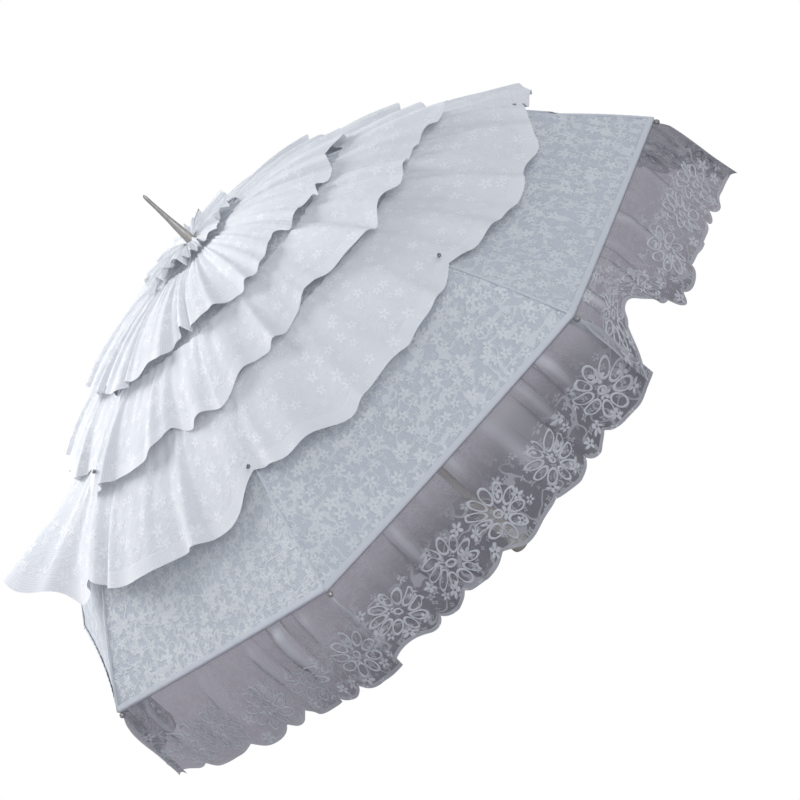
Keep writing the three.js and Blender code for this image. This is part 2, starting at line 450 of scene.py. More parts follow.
@dataclass(frozen=True)
class Finish:
    """A procedural material.

    Attributes:
        name: The material's name.
        slot: The record's slot that it stands for.
    """

    name: str
    slot: Slot

    def material(self) -> bpy.types.Material:
        """Build the material the first time, and give the same one after that."""
        found = bpy.data.materials.get(self.name)
        if found:
            return found
        made = bpy.data.materials.new(self.name)
        made.use_nodes = True
        made.node_tree.nodes.clear()
        graph = Graph(made.node_tree)
        shader = graph.add("ShaderNodeBsdfPrincipled")
        out = graph.add("ShaderNodeOutputMaterial")
        graph.join(shader.outputs[0], out.inputs["Surface"])
        self.dress(graph, shader)
        return made

    def dress(self, graph: Graph, shader: bpy.types.Node) -> None:
        """Write the nodes that feed the shader."""
        raise NotImplementedError

    def put_on(self, piece: bpy.types.Object) -> None:
        """Give a piece this material."""
        piece.data.materials.clear()
        piece.data.materials.append(self.material())


def relief(
    graph: Graph, shader: bpy.types.Node, height: object, depth: float, strength: float
) -> None:
    """Turn a height into the shader's normal.

    Args:
        graph: The material's graph.
        shader: Its shader.
        height: A value from 0 to 1.
        depth: How high 1 stands, in metres.
        strength: The bump's strength.
    """
    bump = graph.add("ShaderNodeBump")
    graph.join(height, bump.inputs["Height"])
    bump.inputs["Distance"].default_value = depth
    bump.inputs["Strength"].default_value = strength
    graph.join(bump.outputs["Normal"], shader.inputs["Normal"])


@dataclass(frozen=True)
class LaceFinish(Finish):
    """White lace: a net, worked flowers and vines, and a denser hem.

    Attributes:
        thread: Colour of the worked flowers; the frill lace darkens it as painted shade.
        ground: Colour of the net between them; the dense and frill laces darken it as painted
            shade of the dark space behind the net.
        cover: How much of the net's area is thread.
        flower_pitch: Spacing of the flowers, in metres.
        flower_reach: A flower's share of its cell.
        petals: Petals of a flower.
        vine_cover: How dense the vines are.
        hem: Width of the denser hem, or 0.
        flowers_from: Distance from the hem up to which flowers reach, or 0 for all over.
        net: How much the single threads of the net show.
        height: Height of the relief, in metres.
    """

    thread: Colour = (0.9, 0.91, 0.93)
    ground: Colour = (0.66, 0.7, 0.76)
    cover: float = 0.5
    flower_pitch: float = 0.013
    flower_reach: float = 0.45
    petals: float = 5.0
    vine_cover: float = 0.8
    hem: float = 0.0
    flowers_from: float = 0.0
    net: float = 0.3
    height: float = 0.0007

    def dress(self, graph: Graph, shader: bpy.types.Node) -> None:
        """Lay net, vines, flowers and hem over each other."""
        place = graph.add("ShaderNodeUVMap", uv_map="cloth").outputs[0]
        blossoms = graph.group(
            BlossomEffect().tree(),
            Place=place,
            Pitch=self.flower_pitch,
            Petals=self.petals,
            Reach=self.flower_reach,
        )
        small = graph.group(
            BlossomEffect().tree(),
            Place=graph.vector("ADD", place, (0.37, 0.61, 0.0)).outputs["Vector"],
            Pitch=self.flower_pitch * 0.55,
            Petals=4.0,
            Reach=self.flower_reach * 0.9,
        )
        net = graph.group(NetEffect().tree(), Place=place, Pitch=0.0021)
        vines = graph.group(
            VineEffect().tree(), Place=place, Pitch=self.flower_pitch * 1.1
        )
        hem_at = graph.add("ShaderNodeAttribute", attribute_name="hem").outputs["Fac"]
        petal = graph.math(
            "MAXIMUM",
            blossoms.outputs["Petal"],
            graph.math("MULTIPLY", small.outputs["Petal"], 0.75),
        )
        vine = graph.math("MULTIPLY", vines.outputs["Thread"], self.vine_cover)
        worked = graph.math("MAXIMUM", petal, vine)
        if self.flowers_from:
            zone = graph.ramp(
                hem_at, self.flowers_from, self.flowers_from * 0.6, 0.3, 1.0
            )
            worked = graph.math("MULTIPLY", worked, zone)
        if self.hem:
            band = graph.ramp(hem_at, self.hem, self.hem * 0.8)
            line = graph.ramp(
                graph.math(
                    "ABSOLUTE", graph.math("SUBTRACT", hem_at, self.hem * 0.95)
                ),
                0.0016,
                0.0006,
            )
            edge = graph.ramp(hem_at, 0.0022, 0.0012)
            trim = graph.math("MULTIPLY", graph.math("MAXIMUM", line, edge), 0.75)
            worked = graph.math(
                "MAXIMUM",
                worked,
                graph.math("MAXIMUM", graph.math("MULTIPLY", band, 0.7), trim),
            )
        # Where the net lies in folds it is painted lighter and denser: partly the look of net
        # doubled over, partly a painted highlight on the pleat crests.
        fold_and_highlight = graph.add("ShaderNodeAttribute", attribute_name="fold").outputs["Fac"]
        worked = graph.math("MAXIMUM", worked, fold_and_highlight)
        cloud = graph.noise(place, 9.0, 3.0)
        lit = graph.math("MULTIPLY", worked, graph.ramp(cloud, 0.2, 0.7, 0.75, 1.0))
        # In the dense and frill laces the ground and thread colours carry painted shade.
        graph.join(
            graph.blend(lit, self.ground, self.thread), shader.inputs["Base Color"]
        )
        net_cover = graph.math(
            "MULTIPLY_ADD",
            net.outputs["Thread"],
            self.net,
            self.cover - 0.5 * self.net,
        )
        if self.cover < 1.0:
            graph.join(
                graph.math("MAXIMUM", net_cover, graph.math("MULTIPLY", worked, 0.97)),
                shader.inputs["Alpha"],
            )
        outlines = graph.math("MULTIPLY", blossoms.outputs["Outline"], 0.5)
        height = graph.math(
            "ADD",
            graph.math("MAXIMUM", worked, outlines),
            graph.math("MULTIPLY", net.outputs["Thread"], 0.25),
        )
        relief(graph, shader, height, self.height, 0.8)
        graph.join(
            graph.ramp(worked, 0.0, 1.0, 0.92, 0.7), shader.inputs["Roughness"]
        )
        shader.inputs["Sheen Weight"].default_value = 0.15


@dataclass(frozen=True)
class TwillFinish(Finish):
    """Woven tape or twisted thread.

    Attributes:
        colour: Colour of the thread.
        shadow: Colour between the threads.
        pitch: Width of one thread, in metres.
    """

    colour: Colour = (0.84, 0.86, 0.89)
    shadow: Colour = (0.6, 0.63, 0.68)
    pitch: float = 0.0012

    def dress(self, graph: Graph, shader: bpy.types.Node) -> None:
        """Draw slanting threads with a little unevenness."""
        place = graph.add("ShaderNodeUVMap", uv_map="cloth").outputs[0]
        parts = graph.add("ShaderNodeSeparateXYZ")
        graph.join(graph.scaled(place, math.tau / self.pitch), parts.inputs[0])
        slant = graph.math("ADD", parts.outputs[0], parts.outputs[1])
        rise = graph.math("MULTIPLY_ADD", graph.math("SINE", slant), 0.5, 0.5)
        cloud = graph.noise(place, 160.0, 2.0)
        height = graph.math("MULTIPLY", rise, graph.ramp(cloud, 0.2, 0.8, 0.6, 1.0))
        graph.join(
            graph.blend(height, self.shadow, self.colour), shader.inputs["Base Color"]
        )
        graph.join(graph.ramp(cloud, 0.2, 0.8, 0.75, 0.92), shader.inputs["Roughness"])
        relief(graph, shader, height, 0.0003, 0.7)
        shader.inputs["Sheen Weight"].default_value = 0.1


@dataclass(frozen=True)
class LacquerFinish(Finish):
    """Lacquered wood, resin or metal, with handling wear.

    Attributes:
        colour: Colour of the sound surface.
        worn: Colour of the worn or soiled places.
        metal: Share of metal.
        gloss: Roughness of the sound surface.
        coat: Weight of the clear coat.
        grain: Size of the wear pattern, in metres.
        bump: Height of the relief, in metres.
    """

    colour: Colour = (0.8, 0.76, 0.66)
    worn: Colour = (0.62, 0.55, 0.43)
    metal: float = 0.0
    gloss: float = 0.35
    coat: float = 0.0
    grain: float = 0.02
    bump: float = 0.0002

    def dress(self, graph: Graph, shader: bpy.types.Node) -> None:
        """Let the wear change colour, roughness and relief."""
        place = graph.add("ShaderNodeTexCoord").outputs["Object"]
        wear = graph.group(WearEffect().tree(), Place=place, Size=self.grain)
        cloud, scratch = wear.outputs["Cloud"], wear.outputs["Scratch"]
        share = graph.math(
            "MULTIPLY_ADD", scratch, 0.35, graph.math("MULTIPLY", cloud, 0.45)
        )
        graph.join(
            graph.blend(share, self.colour, self.worn), shader.inputs["Base Color"]
        )
        graph.join(
            graph.math("MULTIPLY_ADD", share, 0.3, self.gloss),
            shader.inputs["Roughness"],
        )
        shader.inputs["Metallic"].default_value = self.metal
        shader.inputs["Coat Weight"].default_value = self.coat
        relief(graph, shader, share, self.bump, 0.5)


GORE_LACE = LaceFinish(
    "Dense floral lace",
    Slot.LACE,
    thread=(0.86, 0.88, 0.9),
    # The grey ground is partly painted shade: it stands for the dark inside of the canopy seen
    # through the net.
    ground=(0.66, 0.7, 0.75),
    cover=0.96,
    flower_pitch=0.0145,
    flower_reach=0.46,
    net=0.12,
)
RUFFLE_LACE = LaceFinish(
    "Sheer ruffle lace",
    Slot.SHEER,
    thread=(0.95, 0.955, 0.97),
    ground=(0.9, 0.915, 0.945),
    cover=0.9,
    flower_pitch=0.021,
    flower_reach=0.4,
    vine_cover=0.4,
    hem=0.011,
    net=0.1,
    height=0.0004,
)
# A darker copy of the sheer lace, thread and ground alike: painted shade for the frill, which
# hangs in the canopy's shade.
SHADED_FRILL_LACE = LaceFinish(
    "Sheer frill lace in painted shade",
    Slot.SHEER,
    thread=(0.72, 0.73, 0.76),
    ground=(0.4, 0.395, 0.425),
    cover=0.4,
    flower_pitch=0.021,
    flower_reach=0.4,
    vine_cover=0.7,
    hem=0.003,
    flowers_from=0.075,
    net=0.14,
)
DAISY_THREAD = TwillFinish(
    "Daisy thread", Slot.SHEER, colour=(0.8, 0.81, 0.84), shadow=(0.64, 0.65, 0.68)
)
HEM_TAPE = TwillFinish(
    "Hem tape", Slot.LACE, colour=(0.86, 0.88, 0.92), shadow=(0.7, 0.73, 0.78)
)
STITCH_THREAD = TwillFinish(
    "Tacking thread",
    Slot.LACE,
    colour=(0.42, 0.43, 0.46),
    shadow=(0.28, 0.28, 0.3),
    pitch=0.0007,
)
STRAP_TAPE = TwillFinish(
    "Strap tape",
    Slot.LACE,
    colour=(0.8, 0.83, 0.88),
    shadow=(0.62, 0.66, 0.72),
    pitch=0.001,
)
IVORY = LacquerFinish("Ivory lacquer", Slot.WOOD, coat=0.4)
PEWTER = LacquerFinish(
    "Lacquered pewter",
    Slot.PEWTER,
    colour=(0.58, 0.55, 0.51),
    worn=(0.34, 0.32, 0.29),
    metal=0.55,
    gloss=0.38,
    grain=0.006,
)
DARK_PEWTER = LacquerFinish(
    "Dark tip metal",
    Slot.PEWTER,
    colour=(0.46, 0.45, 0.44),
    worn=(0.25, 0.24, 0.23),
    metal=0.6,
    gloss=0.35,
    grain=0.004,
)
RESIN = LacquerFinish(
    "Moulded resin",
    Slot.RESIN,
    colour=(0.83, 0.82, 0.78),
    worn=(0.68, 0.66, 0.6),
    gloss=0.28,
    grain=0.012,
)
STEEL = LacquerFinish(
    "Drawn spring steel",
    Slot.STEEL,
    colour=(0.5, 0.5, 0.52),
    worn=(0.3, 0.29, 0.29),
    metal=1.0,
    gloss=0.27,
    grain=0.004,
    bump=0.0001,
)


# ---- Mesh makers ----


def finished(mesh: bmesh.types.BMesh, name: str) -> bpy.types.Object:
    """Store a bmesh as a smooth piece at the origin.

    Args:
        mesh: The mesh, which is freed.
        name: The piece's name.

    Returns:
        The new object.
    """
    for face in mesh.faces:
        face.smooth = True
    data = bpy.data.meshes.new(name)
    mesh.to_mesh(data)
    mesh.free()
    piece = bpy.data.objects.new(name, data)
    bpy.context.scene.collection.objects.link(piece)
    return piece


def face_away(mesh: bmesh.types.BMesh, centre: Vector) -> None:
    """Turn an open sheet so that its faces look away from a point."""
    mesh.normal_update()
    total = sum(
        face.normal.dot(face.calc_center_median() - centre) * face.calc_area()
        for face in mesh.faces
    )
    if total < 0:
        bmesh.ops.reverse_faces(mesh, faces=mesh.faces[:])


def cloth_grid(
    place: Place,
    counts: tuple[int, int],
    flat: tuple[float, float],
    hem: Callable[[float, float], float] | None = None,
    fold: Callable[[float, float], float] | None = None,
) -> bmesh.types.BMesh:
    """Make a sheet from a grid whose points are then put in place.

    Args:
        place: Gives the point for shares across and along the cloth.
        counts: Cells across and along.
        flat: The cloth's flat width and length, in metres, for its own coordinates.
        hem: Gives the distance from the hem for the same shares.
        fold: Gives how much the cloth lies in folds there, from 0 to 1; the lace paints it
            lighter there, partly as doubled net and partly as a painted highlight.

    Returns:
        The mesh, with the coordinates "cloth" and the attributes "hem" and "fold".
    """
    mesh = bmesh.new()
    cloth = mesh.loops.layers.uv.new("cloth")
    edge = mesh.verts.layers.float.new("hem")
    fold_and_highlight = mesh.verts.layers.float.new("fold")
    bmesh.ops.create_grid(mesh, x_segments=counts[0], y_segments=counts[1], size=0.5)
    for face in mesh.faces:
        for loop in face.loops:
            at = loop.vert.co
            loop[cloth].uv = ((at.x + 0.5) * flat[0], (at.y + 0.5) * flat[1])
    for vert in mesh.verts:
        across, along = vert.co.x + 0.5, vert.co.y + 0.5
        vert[edge] = hem(across, along) if hem else 1.0
        vert[fold_and_highlight] = fold(across, along) if fold else 0.0
        vert.co = place(across, along)
    return mesh


def sheet_piece(
    name: str,
    place: Place,
    counts: tuple[int, int],
    flat: tuple[float, float],
    hem: Callable[[float, float], float] | None = None,
    fold: Callable[[float, float], float] | None = None,
) -> bpy.types.Object:
    """Make a cloth sheet that faces away from the space under the canopy."""
    mesh = cloth_grid(place, counts, flat, hem, fold)
    face_away(mesh, UP * (CROWN - 0.45))
    return finished(mesh, name)


def tube_piece(
    name: str,
    centre: Callable[[float], Vector],
    radius: Callable[[float], float],
    side: Callable[[float], Vector],
    counts: tuple[int, int],
    length: float,
    closed: bool = False,
) -> bpy.types.Object:
    """Roll a grid into a tube along a line.

    Args:
        name: The piece's name.
        centre: The line, for shares from 0 to 1.
        radius: The tube's radius along it.
        side: A direction square to the line along it.
        counts: Cells round and along.
        length: The line's length, for the tube's own coordinates.
        closed: True for a ring.

    Returns:
        The new piece.
    """
    step = 1e-3

    def place(around_share: float, along: float) -> Vector:
        """Put a point on the tube's wall."""
        behind = centre(along - step) if closed else centre(max(0.0, along - step))
        ahead = centre(along + step) if closed else centre(min(1.0, along + step))
        forward = (ahead - behind).normalized()
        across = side(along).normalized()
        over = forward.cross(across).normalized()
        angle = around_share * math.tau
        wall = across * math.cos(angle) + over * math.sin(angle)
        return centre(along) + wall * radius(along)

    girth = math.tau * radius(0.5)
    mesh = cloth_grid(place, counts, (girth, length))
    bmesh.ops.remove_doubles(mesh, verts=mesh.verts[:], dist=1e-6)
    open_edges = [edge for edge in mesh.edges if edge.is_boundary]
    if open_edges:
        bmesh.ops.holes_fill(mesh, edges=open_edges, sides=0)
    bmesh.ops.recalc_face_normals(mesh, faces=mesh.faces[:])
    return finished(mesh, name)


def spun_piece(
    name: str,
    outline: Sequence[tuple[float, float]],
    steps: int,
    place: Matrix | None = None,
) -> bpy.types.Object:
    """Turn an outline of (radius, height) points about the Z axis.

    Args:
        name: The piece's name.
        outline: The outline, from one end to the other.
        steps: Segments of the turn.
        place: Where the turned piece is put.

    Returns:
        The new piece.
    """
    mesh = bmesh.new()
    points = [mesh.verts.new((radius, 0.0, height)) for radius, height in outline]
    lines = [mesh.edges.new(pair) for pair in zip(points, points[1:], strict=False)]
    bmesh.ops.spin(
        mesh,
        geom=points + lines,
        axis=(0, 0, 1),
        cent=(0, 0, 0),
        steps=steps,
        angle=math.tau,
        use_merge=True,
    )
    bmesh.ops.remove_doubles(mesh, verts=mesh.verts[:], dist=1e-6)
    if place is not None:
        bmesh.ops.transform(mesh, matrix=place, verts=mesh.verts[:])
    bmesh.ops.recalc_face_normals(mesh, faces=mesh.faces[:])
    return finished(mesh, name)


def rounded(points: Sequence[tuple[float, float]], cuts: int) -> list[tuple[float, float]]:
    """Run a smooth curve through outline points.

    Args:
        points: The outline in order.
        cuts: Points per stretch.

    Returns:
        The finer outline.
    """
    ends = [points[0], *points, points[-1]]
    fine: list[tuple[float, float]] = []
    for a, b, c, d in zip(ends, ends[1:], ends[2:], ends[3:], strict=False):
        for i in range(cuts):
            t = i / cuts
            fine.append(
                tuple(
                    0.5
                    * (
                        2 * q
                        + (r - p) * t
                        + (2 * p - 5 * q + 4 * r - s) * t * t
                        + (3 * q - p - 3 * r + s) * t**3
                    )
                    for p, q, r, s in zip(a, b, c, d, strict=True)
                )
            )
    fine.append(points[-1])
    return [(max(0.0, radius), height) for radius, height in fine]


# ---- The canopy's form ----


@dataclass(frozen=True)
class Dome:
    """The surface that the ribs hold the canopy to.

    Attributes:
        crown: Height of the crown.
        rise: Height of the crown above the rim.
        rim: From the shaft's axis to a corner of the canopy.
        power: How late the dome turns down.
        slack: How far the cloth sinks between two ribs.
    """

    crown: float = CROWN
    rise: float = 0.225
    rim: float = 0.42
    power: float = 2.15
    slack: float = 0.004

    def height(self, radius: float) -> float:
        """Give the seam's height at a radius."""
        return self.crown - self.rise * (radius / self.rim) ** self.power

    def slope(self, radius: float) -> float:
        """Give the seam's slope at a radius."""
        share = (radius / self.rim) ** (self.power - 1)
        return -self.rise * self.power * share / self.rim

    def outward(self, theta: float, radius: float) -> Vector:
        """Give the direction square to the dome."""
        return (around(theta) * -self.slope(radius) + UP).normalized()

    def seam(self, theta: float, radius: float, depth: float = 0.0) -> Vector:
        """Give the point on a seam, or at a depth under it."""
        point = around(theta) * radius + UP * self.height(radius)
        return point - self.outward(theta, radius) * depth

    def arc(self, inner: float, outer: float, steps: int = 24) -> float:
        """Measure along a seam between two radii."""
        radii = [mix(inner, outer, i / steps) for i in range(steps + 1)]
        return sum(
            math.hypot(b - a, self.height(b) - self.height(a))
            for a, b in zip(radii, radii[1:], strict=False)
        )


DOME = Dome()


@dataclass(frozen=True)
class Gore:
    """One eighth of the canopy, between rib n and rib n + 1.

    Attributes:
        number: Its number, from 1.
    """

    number: int

    @property
    def angle(self) -> float:
        """Give the angle of its middle."""
        return (self.number - 0.5) * STEP

    def theta(self, q: float) -> float:
        """Give the angle at a share across, from -1 to 1."""
        return self.angle + math.atan(q * math.tan(HALF_GORE))

    def point(self, radius: float, q: float, lift: float = 0.0) -> Vector:
        """Give a point on the gore.

        Args:
            radius: Seam radius.
            q: Share across, from -1 at rib n to 1 at rib n + 1.
            lift: Distance off the cloth.

        Returns:
            The point.
        """
        level = around(self.angle) * (radius * math.cos(HALF_GORE))
        level += tangent_at(self.angle) * (q * radius * math.sin(HALF_GORE))
        sink = DOME.slack * (1 - q * q) * smooth(radius / 0.15)
        out = DOME.outward(self.theta(q), radius)
        return level + UP * DOME.height(radius) + out * (lift - sink)

    def width(self, radius: float) -> float:
        """Give the gore's width at a seam radius."""
        return 2 * radius * math.sin(HALF_GORE)

    def fold_away(self, piece: bpy.types.Object, body: str) -> None:
        """Let a cloth piece follow a body, with a mesh of its own."""
        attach(piece, body)
        tangent_at(self.angle)
        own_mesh(piece)


GORES = [Gore(number) for number in range(1, RIB_COUNT + 1)]


# ---- Canopy cloth ----


@dataclass
class Canopy:
    """The eight gores of dense lace, each in two panels with a hem tape.

    Attributes:
        inner: Seam radius where the cloth meets the notch.
        fold: Seam radius where each gore folds.
        tape: Width of the hem tape.
        pucker: Height of the cloth's unevenness.
        pull: Height of the small pulls beside a seam.
        swell: Thickness of the turned tape at its inner edge.
        crimp: Height of the tape's stitching.
        lace_step: How far the lace is moved on from one gore to the next.
        lower_start: Where the lower panel's lace starts along the gore.
        made: The pieces built so far.
    """

    inner: float = 0.008
    fold: float = FOLD_RADIUS
    tape: float = 0.0055
    pucker: float = 0.0008
    pull: float = 0.0007
    swell: float = 0.0007
    crimp: float = 0.0003
    lace_step: float = 0.31
    lower_start: float = 0.18
    made: list[bpy.types.Object] = field(default_factory=list)

    def build(self) -> list[bpy.types.Object]:
        """Build every gore and its tape."""
        for gore in GORES:
            self.panel(gore, "upper", self.inner, self.fold, (24, 16))
            lower = self.panel(gore, "lower", self.fold, DOME.rim, (32, 24))
            self.hem_tape(gore)
        return self.made

    def panel(
        self,
        gore: Gore,
        part: str,
        inner: float,
        outer: float,
        counts: tuple[int, int],
    ) -> bpy.types.Object:
        """Build one panel of a gore.

        Args:
            gore: The gore.
            part: "upper" or "lower".
            inner: Seam radius of its inner edge.
            outer: Seam radius of its outer edge.
            counts: Cells across and along.

        Returns:
            The panel.
        """
        length = DOME.arc(inner, outer)
        width = gore.width(outer)

        def place(across: float, along: float) -> Vector:
            """Put a point of the panel on the gore."""
            radius = mix(inner, outer, along)
            q = 2 * across - 1
            pucker = wander(q * 6, radius * 60, gore.number) * self.pucker
            beside = math.exp(-((1 - abs(q)) / 0.05))
            pull = self.pull * beside * math.sin(radius * 900)
            return gore.point(radius, q, pucker + pull)

        piece = sheet_piece(f"canopy_{part}_{gore.number}", place, counts, (width, length))
        self.wedge_cloth(piece, gore, self.lower_start if part == "lower" else 0.0)
        GORE_LACE.put_on(piece)
        node = f"gore_{part}_{gore.number}"
        gore.fold_away(piece, node)
        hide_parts(node)
        0.5 * length * (width + gore.width(inner))
        self.made.append(piece)
        return piece

    def wedge_cloth(self, piece: bpy.types.Object, gore: Gore, start: float) -> None:
        """Give a panel coordinates that keep the lace the same size across the wedge.

        Args:
            piece: The panel.
            gore: Its gore.
            start: Where its lace starts along the gore.
        """
        layer = piece.data.uv_layers["cloth"].data
        side = tangent_at(gore.angle)
        for loop in piece.data.loops:
            at = piece.data.vertices[loop.vertex_index].co
            v = layer[loop.index].uv[1] + start
            layer[loop.index].uv = (at.dot(side) + self.lace_step * gore.number, v)

    def hem_tape(self, gore: Gore) -> None:
        """Fold a tape round the panel's rim.

        Args:
            gore: The gore.
        """
        stretch = math.hypot(1.0, DOME.slope(DOME.rim))
        inner, outer = DOME.rim - self.tape / stretch, DOME.rim + 0.0008

        def place(across: float, along: float) -> Vector:
            """Lead the tape over the rim and back under it."""
            over = along < 0.5
            share = 2 * along if over else 2 - 2 * along
            radius = mix(inner, outer, share)
            swell = self.swell * math.sqrt(max(0.0, 1 - share**3))
            crimp = self.crimp * math.sin(across * 190)
            lift = (0.0006 + swell + crimp) if over else (-0.0014 - swell)
            return gore.point(radius, 2 * across - 1, lift)

        width = gore.width(DOME.rim)
        piece = sheet_piece(
            f"rim_tape_{gore.number}", place, (48, 10), (width, 2 * self.tape)
        )
        HEM_TAPE.put_on(piece)
        gore.fold_away(piece, f"gore_lower_{gore.number}")
        self.made.append(piece)


# ---- Ruffles ----


@dataclass(frozen=True)
class Waves:
    """Soft folds that run round the shaft.

    Attributes:
        count: Radians of phase for each radian round the shaft.
        bend: How far the phase wanders.
        height: Height of the folds.
    """

    count: float
    bend: float
    height: float

    def height_at(self, theta: float, slow: float, shift: float = 0.0) -> float:
        """Give the folds' height at an angle, for a slow unevenness and a shift."""
        return math.sin(theta * self.count + self.bend * slow + shift) * self.height


GATHERS = Waves(72, 9, 0.0009)
BILLOWS = Waves(14, 6, 0.0042)
FLUTES = Waves(27, 8, 0.0016)


@dataclass(frozen=True)
class Tier:
    """One gathered tier of sheer lace.

    Attributes:
        name: Its name, which is its node's too.
        body: The body that its pieces follow, without the number.
        top: Share of the rim's radius at the gathered edge.
        hem_at_rib: Share of the rim's radius at the hem over a rib.
        hem_between: The same between two ribs.
        lift: How far the hem stands off.
        seed: Which unevenness it has.
        shift: How far its lobes are turned, as a share of a gore.
        counts: Cells across and along for one gore.
        fullness: How much wider the flat cloth is than its place.
    """

    name: str
    body: str
    top: float
    hem_at_rib: float
    hem_between: float
    lift: float
    seed: float
    shift: float = 0.0
    counts: tuple[int, int] = (72, 18)
    fullness: float = 1.15

    def lobe(self, theta: float) -> float:
        """Give 0 where the hem is tacked and 1 at the middle of a lobe."""
        turn = (theta / STEP + self.shift) % 1.0
        q = abs(2 * turn - 1)
        return 1 - q**3.4

    def hem(self, theta: float) -> float:
        """Give the hem's share of the rim's radius at an angle."""
        scallop = math.sin(theta * 20 + 2.2 * math.sin(theta * 5 + self.seed))
        big = wander(math.cos(theta) * 2.2, math.sin(theta) * 2.2, self.seed)
        lobe = self.lobe(theta)
        share = mix(self.hem_at_rib, self.hem_between, lobe)
        return share + 0.008 * scallop * (0.3 + 0.7 * lobe) + 0.03 * big

    def flare(self, theta: float) -> float:
        """Give the hem's lift at an angle."""
        big = wander(math.cos(theta) * 1.9 + 3, math.sin(theta) * 1.9, self.seed + 4)
        extra = sum(
            rise * math.exp(-((math.remainder(theta - at, math.tau) / spread) ** 2))
            for at, spread, rise in FLARES.get(self.name, ())
        )
        return self.lift * (0.35 + 0.65 * self.lobe(theta) + 0.5 * big) + extra

    def folds(self, theta: float, along: float) -> float:
        """Give the soft folds' height at an angle and a share from the gathers."""
        slow = wander(math.cos(theta) * 7, math.sin(theta) * 7, self.seed + 9)
        near = GATHERS.height_at(theta, slow) * (1 - along)
        wide = BILLOWS.height_at(theta, slow, self.seed) * along**0.8
        edge = FLUTES.height_at(theta, slow) * along**2
        return near + wide + edge


FLARES: dict[str, tuple[tuple[float, float, float], ...]] = {
    "ruffle_lower": (
        (math.radians(20), 0.2, 0.014),
        (math.radians(199), 0.16, 0.062),
    ),
}
TIERS = (
    Tier("ruffle_lower", "gore_lower", 0.6, 0.785, 0.845, 0.015, 1.0),
    Tier("ruffle_middle", "gore_lower", 0.425, 0.6, 0.64, 0.013, 2.0, 0.35),
    Tier("ruffle_upper", "gore_upper", 0.16, 0.4, 0.45, 0.011, 3.0, 0.1),
    Tier("crown_rosette", "gore_upper", 0.03, 0.12, 0.15, 0.008, 4.0, 0.5, (48, 12), 1.45),
)


@dataclass
class Ruffles:
    """The gathered tiers, in one piece for each gore.

    Attributes:
        clearance: Height of the gathered edge over the cloth.
        made: The pieces built so far.
    """

    clearance: float = 0.0022
    made: list[bpy.types.Object] = field(default_factory=list)

    def build(self) -> list[bpy.types.Object]:
        """Build every tier over every gore."""
        for tier in TIERS:
            for gore in GORES:
                self.made.append(self.piece(tier, gore))
        return self.made

    def piece(self, tier: Tier, gore: Gore) -> bpy.types.Object:
        """Build one gore's stretch of a tier.

        Args:
            tier: The tier.
            gore: The gore that it lies over.

        Returns:
            The piece.
        """

        def radius_at(q: float, along: float) -> float:
            """Give the seam radius at a share from the gathers."""
            return DOME.rim * mix(tier.top, tier.hem(gore.theta(q)), along)

        def place(across: float, along: float) -> Vector:
            """Put a point of the ruffle over the gore."""
            q = 2 * across - 1
            theta = gore.theta(q)
            rise = self.clearance + tier.flare(theta) * along**1.6
            rise += tier.folds(theta, along) + 0.003 * math.sin(along * math.pi)
            rise += DOME.slack * (1 - q * q)
            return gore.point(radius_at(q, along), q, max(0.0012, rise))

        def hem(across: float, along: float) -> float:
            """Give the distance to the hem."""
            q = 2 * across - 1
            return DOME.rim * (tier.hem(gore.theta(q)) - tier.top) * (1 - along) * 1.05

        outer = DOME.rim * tier.hem_between
        width = gore.width(outer) * tier.fullness
        length = DOME.arc(DOME.rim * tier.top, outer)
        name = f"{tier.name}_{gore.number}"
        piece = sheet_piece(name, place, tier.counts, (width, length), hem)
        RUFFLE_LACE.put_on(piece)
        gore.fold_away(piece, f"{tier.body}_{gore.number}")
        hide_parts(tier.name)
        return piece


# ---- Frill ----

# Where the frill is shorter: the angle, half the width, both in degrees, and the share taken off.
NOTCHES = ((-37.5, 10.5, 0.6), (-88.0, 5.0, 0.12), (-135.0, 5.0, 0.12))


@dataclass(frozen=True)
class Daisy:
    """A large open flower of corded outlines.

    Attributes:
        at: Share across the frill, and share down it.
        reach: Radius of the flower.
        petals: How many petals.
        turn: How far it is turned.
    """

    at: tuple[float, float]
    reach: float
    petals: int
    turn: float

    def rings(self) -> Iterable[tuple[Vector, tuple[float, float], float]]:
        """List each ring: its centre, its half sizes, and its turn."""
        yield Vector((0, 0, 0)), (self.reach * 0.16, self.reach * 0.16), 0.0
        for i in range(self.petals):
            angle = self.turn + i * math.tau / self.petals
            centre = around(angle) * self.reach * 0.64
            wide = self.reach * 0.64 * math.sin(math.pi / self.petals) * 0.9
            yield centre, (self.reach * 0.34, wide), angle


